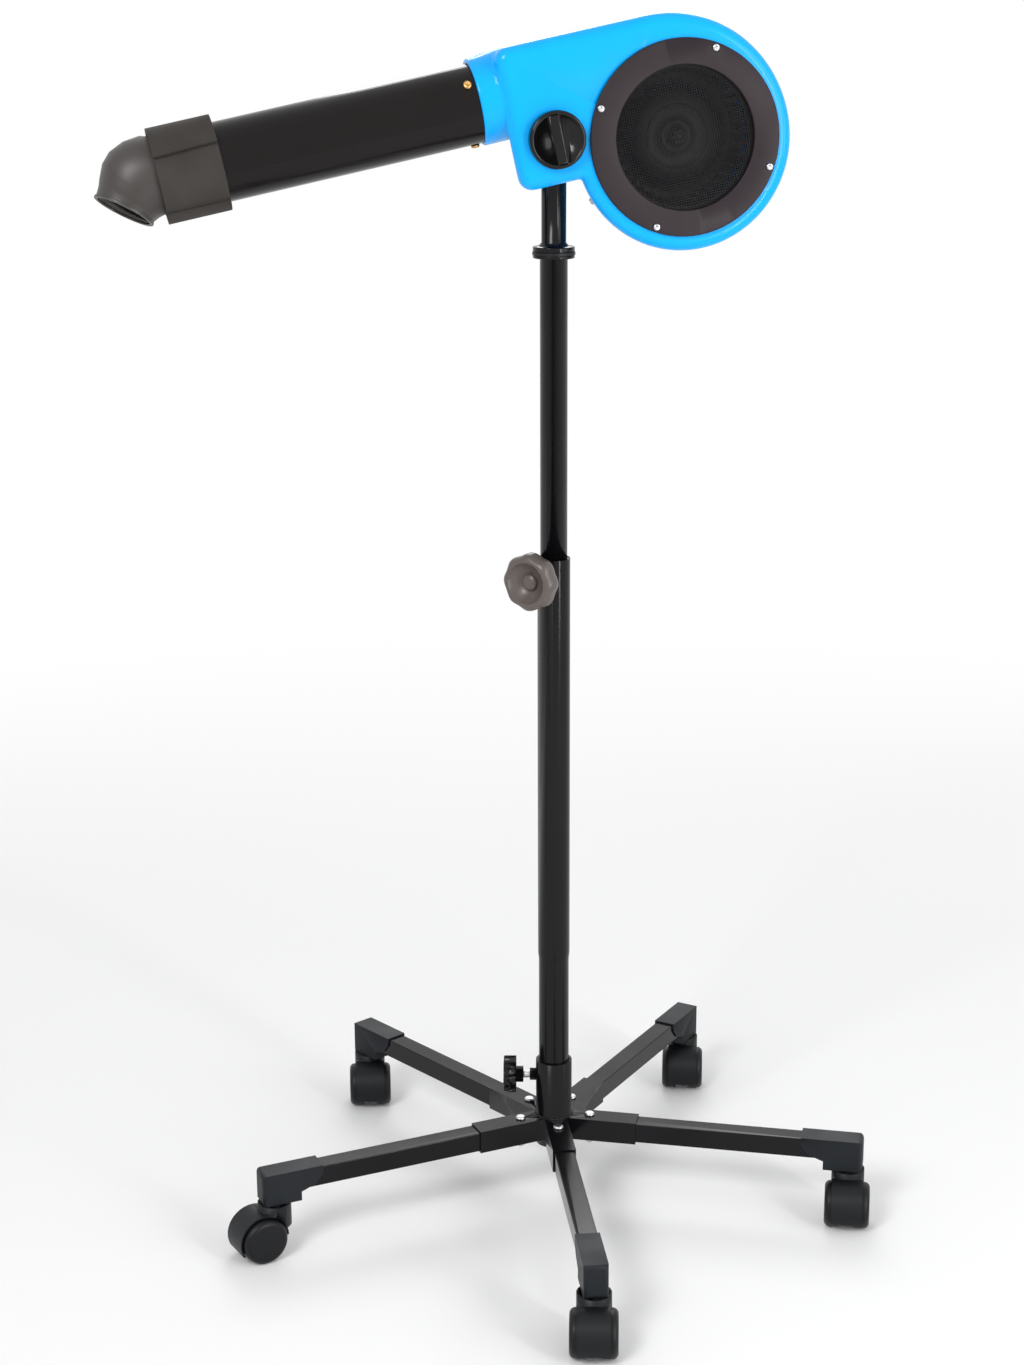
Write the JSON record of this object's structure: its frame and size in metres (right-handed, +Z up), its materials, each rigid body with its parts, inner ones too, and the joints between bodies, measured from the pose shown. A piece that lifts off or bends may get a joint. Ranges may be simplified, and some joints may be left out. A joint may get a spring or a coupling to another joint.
{
  "type": "pet dryer",
  "caption": "Stand-mounted pet dryer: a scroll blower head with a long outlet tube and bent nozzle, on a telescopic upright with a wheeled star base.",
  "frame": {"origin": "on the floor, on the axis of the upright", "axes": "+Z up along the upright; the blower intake faces -Y and the outlet tube points towards -X"},
  "size_m": [0.7852, 0.6817, 1.2876],
  "materials": {
    "stand_paint": "gloss black enamel",
    "leg_cap": "matt black moulded plastic",
    "caster_plastic": "black moulded plastic",
    "caster_tread": "black tread",
    "fastener_steel": "bright zinc-plated steel",
    "zinc_yellow": "yellow-passivated zinc",
    "mast_knob": "warm grey satin plastic",
    "black_knob": "gloss black plastic",
    "nylon": "dark nylon",
    "housing_blue": "gloss blue moulded plastic",
    "ring_black": "satin black paint",
    "mesh_black": "black-coated steel",
    "fan_metal": "plain pressed aluminium",
    "motor_steel": "grey-black painted steel",
    "lamination": "varnished steel laminations",
    "tube_black": "gloss black enamel",
    "mica": "heat-proof insulating board",
    "heater_wire": "resistance wire",
    "nozzle_grey": "satin dark grey plastic",
    "band_rubber": "grey-black rubber"
  },
  "bodies": {
    "base": {"base_hub": "stand_paint", "leg_1": "stand_paint", "leg_2": "stand_paint", "leg_3": "stand_paint", "leg_4": "stand_paint", "leg_5": "stand_paint", "leg_cap_1": "leg_cap", "leg_cap_2": "leg_cap", "leg_cap_3": "leg_cap", "leg_cap_4": "leg_cap", "leg_cap_5": "leg_cap", "leg_bolts": "fastener_steel", "caster_stems": "fastener_steel"},
    "column": {"column_tube": "stand_paint", "column_bush": "nylon"},
    "mast": {"mast_tube": "stand_paint", "mast_guide": "nylon", "swivel_washer": "nylon"},
    "stem": {"head_stem": "stand_paint"},
    "head": {"housing_front": "housing_blue", "housing_rear": "housing_blue", "housing_screws": "fastener_steel", "intake_ring": "ring_black", "intake_mesh": "mesh_black", "motor_case": "motor_steel", "motor_plate": "motor_steel", "motor_stator": "lamination", "motor_bearings": "fastener_steel", "cable_gland": "nylon", "outlet_tube": "tube_black", "outlet_tube_screws": "zinc_yellow", "heater_former": "mica", "heater_coil": "heater_wire", "nozzle_band": "band_rubber", "switch_body": "nylon", "tilt_bolt": "fastener_steel"},
    "fan": {"fan_wheel": "fan_metal", "fan_nut": "fastener_steel", "motor_rotor": "lamination"},
    "nozzle": {"nozzle": "nozzle_grey"},
    "selector": {"selector_knob": "black_knob"},
    "column_screw": {"column_clamp_screw": "fastener_steel"},
    "column_knob": {"column_clamp_knob": "mast_knob"},
    "socket_screw": {"socket_clamp_screw": "fastener_steel"},
    "socket_knob": {"socket_clamp_knob": "black_knob"},
    "caster_1": {"caster_hood_1": "caster_plastic"},
    "wheel_1_left": {"caster_wheel_1_left": "caster_tread"},
    "wheel_1_right": {"caster_wheel_1_right": "caster_tread"},
    "caster_2": {"caster_hood_2": "caster_plastic"},
    "wheel_2_left": {"caster_wheel_2_left": "caster_tread"},
    "wheel_2_right": {"caster_wheel_2_right": "caster_tread"},
    "caster_3": {"caster_hood_3": "caster_plastic"},
    "wheel_3_left": {"caster_wheel_3_left": "caster_tread"},
    "wheel_3_right": {"caster_wheel_3_right": "caster_tread"},
    "caster_4": {"caster_hood_4": "caster_plastic"},
    "wheel_4_left": {"caster_wheel_4_left": "caster_tread"},
    "wheel_4_right": {"caster_wheel_4_right": "caster_tread"},
    "caster_5": {"caster_hood_5": "caster_plastic"},
    "wheel_5_left": {"caster_wheel_5_left": "caster_tread"},
    "wheel_5_right": {"caster_wheel_5_right": "caster_tread"}
  },
  "joints": [
    {"name": "caster_1_swivel", "type": "hinge", "parent": "base", "child": "caster_1", "pos_m": [-0.02655, -0.32993, 0.06], "axis": [0, 0, 1], "continuous": true},
    {"name": "caster_1_left_roll", "type": "hinge", "parent": "caster_1", "child": "wheel_1_left", "pos_m": [-0.03104, -0.34942, 0.025], "axis": [0.9744, -0.225, 0], "continuous": true},
    {"name": "caster_1_right_roll", "type": "hinge", "parent": "caster_1", "child": "wheel_1_right", "pos_m": [-0.03104, -0.34942, 0.025], "axis": [0.9744, -0.225, 0], "continuous": true},
    {"name": "caster_2_swivel", "type": "hinge", "parent": "base", "child": "caster_2", "pos_m": [0.30558, -0.1272, 0.06], "axis": [0, 0, 1], "continuous": true},
    {"name": "caster_2_left_roll", "type": "hinge", "parent": "caster_2", "child": "wheel_2_left", "pos_m": [0.29907, -0.14611, 0.025], "axis": [0.9455, -0.3256, 0], "continuous": true},
    {"name": "caster_2_right_roll", "type": "hinge", "parent": "caster_2", "child": "wheel_2_right", "pos_m": [0.29907, -0.14611, 0.025], "axis": [0.9455, -0.3256, 0], "continuous": true},
    {"name": "caster_3_swivel", "type": "hinge", "parent": "base", "child": "caster_3", "pos_m": [0.21541, 0.25132, 0.06], "axis": [0, 0, 1], "continuous": true},
    {"name": "caster_3_left_roll", "type": "hinge", "parent": "caster_3", "child": "wheel_3_left", "pos_m": [0.21023, 0.232, 0.025], "axis": [0.9659, -0.2588, 0], "continuous": true},
    {"name": "caster_3_right_roll", "type": "hinge", "parent": "caster_3", "child": "wheel_3_right", "pos_m": [0.21023, 0.232, 0.025], "axis": [0.9659, -0.2588, 0], "continuous": true},
    {"name": "caster_4_swivel", "type": "hinge", "parent": "base", "child": "caster_4", "pos_m": [-0.17245, 0.28253, 0.06], "axis": [0, 0, 1], "continuous": true},
    {"name": "caster_4_left_roll", "type": "hinge", "parent": "caster_4", "child": "wheel_4_left", "pos_m": [-0.17489, 0.26267, 0.025], "axis": [0.9925, -0.1219, 0], "continuous": true},
    {"name": "caster_4_right_roll", "type": "hinge", "parent": "caster_4", "child": "wheel_4_right", "pos_m": [-0.17489, 0.26267, 0.025], "axis": [0.9925, -0.1219, 0], "continuous": true},
    {"name": "caster_5_swivel", "type": "hinge", "parent": "base", "child": "caster_5", "pos_m": [-0.32199, -0.07671, 0.06], "axis": [0, 0, 1], "continuous": true},
    {"name": "caster_5_left_roll", "type": "hinge", "parent": "caster_5", "child": "wheel_5_left", "pos_m": [-0.34078, -0.08355, 0.025], "axis": [0.342, -0.9397, 0], "continuous": true},
    {"name": "caster_5_right_roll", "type": "hinge", "parent": "caster_5", "child": "wheel_5_right", "pos_m": [-0.34078, -0.08355, 0.025], "axis": [0.342, -0.9397, 0], "continuous": true},
    {"name": "column_lift", "type": "slide", "parent": "base", "child": "column", "axis": [0, 0, 1], "range_m": [0, 0.096]},
    {"name": "mast_slide", "type": "slide", "parent": "column", "child": "mast", "axis": [0, 0, 1], "range_m": [-0.205, 0.18]},
    {"name": "head_swivel", "type": "hinge", "parent": "mast", "child": "stem", "pos_m": [0, 0, 1.0502], "axis": [0, 0, 1], "continuous": true},
    {"name": "head_tilt", "type": "hinge", "parent": "stem", "child": "head", "pos_m": [0, 0, 1.168], "axis": [0, 1, 0], "range_deg": [-58, 9]},
    {"name": "fan_spin", "type": "hinge", "parent": "head", "child": "fan", "pos_m": [0.12495, 0, 1.16696], "axis": [0, 1, 0], "continuous": true},
    {"name": "nozzle_turn", "type": "hinge", "parent": "head", "child": "nozzle", "pos_m": [-0.00988, 0.008, 1.21446], "axis": [-0.9781, 0, -0.2079], "continuous": true},
    {"name": "selector_turn", "type": "hinge", "parent": "head", "child": "selector", "pos_m": [-0.00587, -0.045, 1.16675], "axis": [0, 1, 0], "range_deg": [0, 270]},
    {"name": "column_clamp_travel", "type": "slide", "parent": "column", "child": "column_screw", "axis": [-0.7071, -0.7071, 0], "range_m": [0, 0.00252]},
    {"name": "column_clamp_turn", "type": "hinge", "parent": "column_screw", "child": "column_knob", "pos_m": [-0.02121, -0.02121, 0.717], "axis": [-0.7071, -0.7071, 0], "range_deg": [0, 720]},
    {"name": "socket_clamp_travel", "type": "slide", "parent": "base", "child": "socket_screw", "axis": [-0.9781, 0.2079, 0], "range_m": [0, 0.00252]},
    {"name": "socket_clamp_turn", "type": "hinge", "parent": "socket_screw", "child": "socket_knob", "pos_m": [-0.02934, 0.00624, 0.142], "axis": [-0.9781, 0.2079, 0], "range_deg": [0, 720]}
  ],
  "couplings": [
    {"joint": "column_clamp_travel", "follows": "column_clamp_turn", "m_per_rad": 0.00019894},
    {"joint": "socket_clamp_travel", "follows": "socket_clamp_turn", "m_per_rad": 0.00019894}
  ]
}
